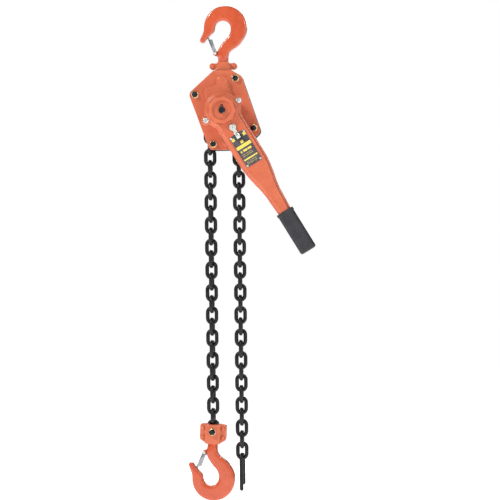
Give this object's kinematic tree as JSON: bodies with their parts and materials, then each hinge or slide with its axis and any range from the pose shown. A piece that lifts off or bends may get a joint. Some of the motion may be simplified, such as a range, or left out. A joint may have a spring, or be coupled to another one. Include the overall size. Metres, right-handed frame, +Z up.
{
  "type": "lever chain hoist",
  "caption": "Lever chain hoist: swivel top hook, ratchet lever, load sheave with chain, slack chain, and a swivel hook on a pinned lower block.",
  "frame": {"origin": "centre of the top hook's bowl, midway through its thickness", "axes": "+Z up, along the hanging direction; +X to the right when facing the nameplate; +Y from the nameplate side to the gear side"},
  "size_m": [0.3472, 0.177, 1.3162],
  "materials": {
    "orange_hook": "thick glossy orange paint on a forging",
    "orange_paint": "satin orange powder coat on pressed steel",
    "black_paint": "satin black paint",
    "chain_black": "blackened alloy chain, lightly oiled",
    "black_oxide": "black oxide steel",
    "yellow_zinc": "yellow zinc plate",
    "bright_steel": "bright zinc plated steel",
    "grip_rubber": "moulded textured rubber",
    "nameplate_black": "printed aluminium sheet",
    "gear_steel": "machined steel, greased",
    "friction_lining": "brake lining"
  },
  "bodies": {
    "top_hook": {"top_hook": "orange_hook", "top_latch_pin": "bright_steel", "top_latch_spring": "bright_steel"},
    "top_latch": {"top_latch": "bright_steel"},
    "frame": {"yoke_front_half": "orange_paint", "yoke_rear_half": "orange_paint", "yoke_rivets": "orange_paint", "top_pin": "black_oxide", "front_side_plate": "black_paint", "rear_side_plate": "black_paint", "brake_cover": "orange_paint", "gear_cover": "black_paint", "stay_bolts": "black_oxide", "cover_screw": "black_oxide", "cover_washers": "yellow_zinc", "cover_nuts": "black_oxide", "rear_nuts": "black_oxide", "sheave_bearings": "gear_steel", "chain_guide": "gear_steel", "chain_stripper": "gear_steel", "ratchet_disc": "gear_steel", "pawl_pins": "gear_steel", "pawl_springs": "bright_steel"},
    "brake_pawl_upper": {"brake_pawl_upper": "gear_steel"},
    "brake_pawl_lower": {"brake_pawl_lower": "gear_steel"},
    "sheave": {"load_sheave": "gear_steel", "load_gear": "gear_steel", "sheave_chain_links": "chain_black"},
    "idler_upper": {"idler_gear_upper": "gear_steel"},
    "idler_lower": {"idler_gear_lower": "gear_steel"},
    "drive_shaft": {"pinion_shaft": "gear_steel", "brake_hub": "gear_steel", "friction_discs": "friction_lining", "change_gear": "gear_steel", "handwheel": "orange_paint", "castle_nut": "black_oxide", "split_pin": "black_oxide"},
    "lever": {"lever_front_shell": "orange_paint", "lever_rear_shell": "orange_paint", "lever_screws": "bright_steel", "lever_nuts": "bright_steel", "lever_grip": "grip_rubber", "nameplate": "nameplate_black", "nameplate_rivets": "bright_steel"},
    "selector": {"selector_lever": "bright_steel", "selector_spindle": "bright_steel", "change_pawl": "gear_steel"},
    "load_strand": {"load_chain": "chain_black"},
    "slack_strand": {"slack_chain": "chain_black", "chain_end_stop": "chain_black"},
    "lower_block": {"block_front_half": "orange_paint", "block_rear_half": "orange_paint", "block_rivets": "orange_paint", "chain_pin": "black_oxide", "chain_pin_washer": "yellow_zinc", "chain_pin_nut": "black_oxide"},
    "bottom_hook": {"bottom_hook": "orange_hook", "bottom_latch_pin": "bright_steel", "bottom_latch_spring": "bright_steel"},
    "bottom_latch": {"bottom_latch": "bright_steel"}
  },
  "joints": [
    {"name": "top_swivel", "type": "hinge", "parent": "top_hook", "child": "frame", "pos_m": [0, 0, -0.09], "axis": [0, 0, 1], "continuous": true},
    {"name": "top_latch_open", "type": "hinge", "parent": "top_hook", "child": "top_latch", "pos_m": [-0.0218, 0, -0.065], "axis": [0, 1, 0], "range_deg": [0, 35], "stiffness_Nm_per_rad": 0.1, "springref_deg": -28.65},
    {"name": "lever_swing", "type": "hinge", "parent": "frame", "child": "lever", "pos_m": [0, -0.077, -0.2225], "axis": [0, 1, 0], "continuous": true},
    {"name": "selector_turn", "type": "hinge", "parent": "lever", "child": "selector", "pos_m": [0.02745, -0.09, -0.26819], "axis": [0, 1, 0], "range_deg": [-30, 30]},
    {"name": "hook_lift", "type": "slide", "parent": "frame", "child": "load_strand", "axis": [0, 0, 1], "range_m": [0, 0.03], "deforming": ["sheave_chain_links"]},
    {"name": "slack_run", "type": "slide", "parent": "frame", "child": "slack_strand", "axis": [0, 0, 1], "range_m": [-0.03, 0]},
    {"name": "sheave_turn", "type": "hinge", "parent": "frame", "child": "sheave", "pos_m": [0, 0, -0.2225], "axis": [0, 1, 0], "range_deg": [0, 45]},
    {"name": "idler_upper_turn", "type": "hinge", "parent": "frame", "child": "idler_upper", "pos_m": [-0.01322, 0.045, -0.18475], "axis": [0, 1, 0], "range_deg": [-135, 0]},
    {"name": "idler_lower_turn", "type": "hinge", "parent": "frame", "child": "idler_lower", "pos_m": [0.01322, 0.045, -0.26025], "axis": [0, 1, 0], "range_deg": [-135, 0]},
    {"name": "shaft_turn", "type": "hinge", "parent": "frame", "child": "drive_shaft", "pos_m": [0, 0, -0.2225], "axis": [0, 1, 0], "range_deg": [0, 405]},
    {"name": "brake_pawl_upper_lift", "type": "hinge", "parent": "frame", "child": "brake_pawl_upper", "pos_m": [0.01784, -0.041, -0.18895], "axis": [0, 1, 0], "range_deg": [-15, 0], "stiffness_Nm_per_rad": 0.02, "springref_deg": 17.19},
    {"name": "brake_pawl_lower_lift", "type": "hinge", "parent": "frame", "child": "brake_pawl_lower", "pos_m": [-0.01784, -0.041, -0.25605], "axis": [0, 1, 0], "range_deg": [-15, 0], "stiffness_Nm_per_rad": 0.02, "springref_deg": 17.19},
    {"name": "block_sway", "type": "hinge", "parent": "load_strand", "child": "lower_block", "pos_m": [-0.038, 0, -1.0725], "axis": [0.0872, 0.9962, 0], "range_deg": [-4, 8]},
    {"name": "bottom_swivel", "type": "hinge", "parent": "lower_block", "child": "bottom_hook", "pos_m": [-0.04043, 0.00021, -1.11242], "axis": [0.0608, -0.0053, 0.9981], "continuous": true},
    {"name": "bottom_latch_open", "type": "hinge", "parent": "bottom_hook", "child": "bottom_latch", "pos_m": [-0.06305, 0.00219, -1.12657], "axis": [-0.0872, -0.9962, 0], "range_deg": [0, 35], "stiffness_Nm_per_rad": 0.1, "springref_deg": -28.65}
  ],
  "couplings": [
    {"joint": "slack_run", "follows": "hook_lift", "ratio": -1},
    {"joint": "sheave_turn", "follows": "hook_lift", "rad_per_m": 26.18},
    {"joint": "idler_upper_turn", "follows": "hook_lift", "rad_per_m": -78.54},
    {"joint": "idler_lower_turn", "follows": "hook_lift", "rad_per_m": -78.54},
    {"joint": "shaft_turn", "follows": "hook_lift", "rad_per_m": 235.62}
  ]
}
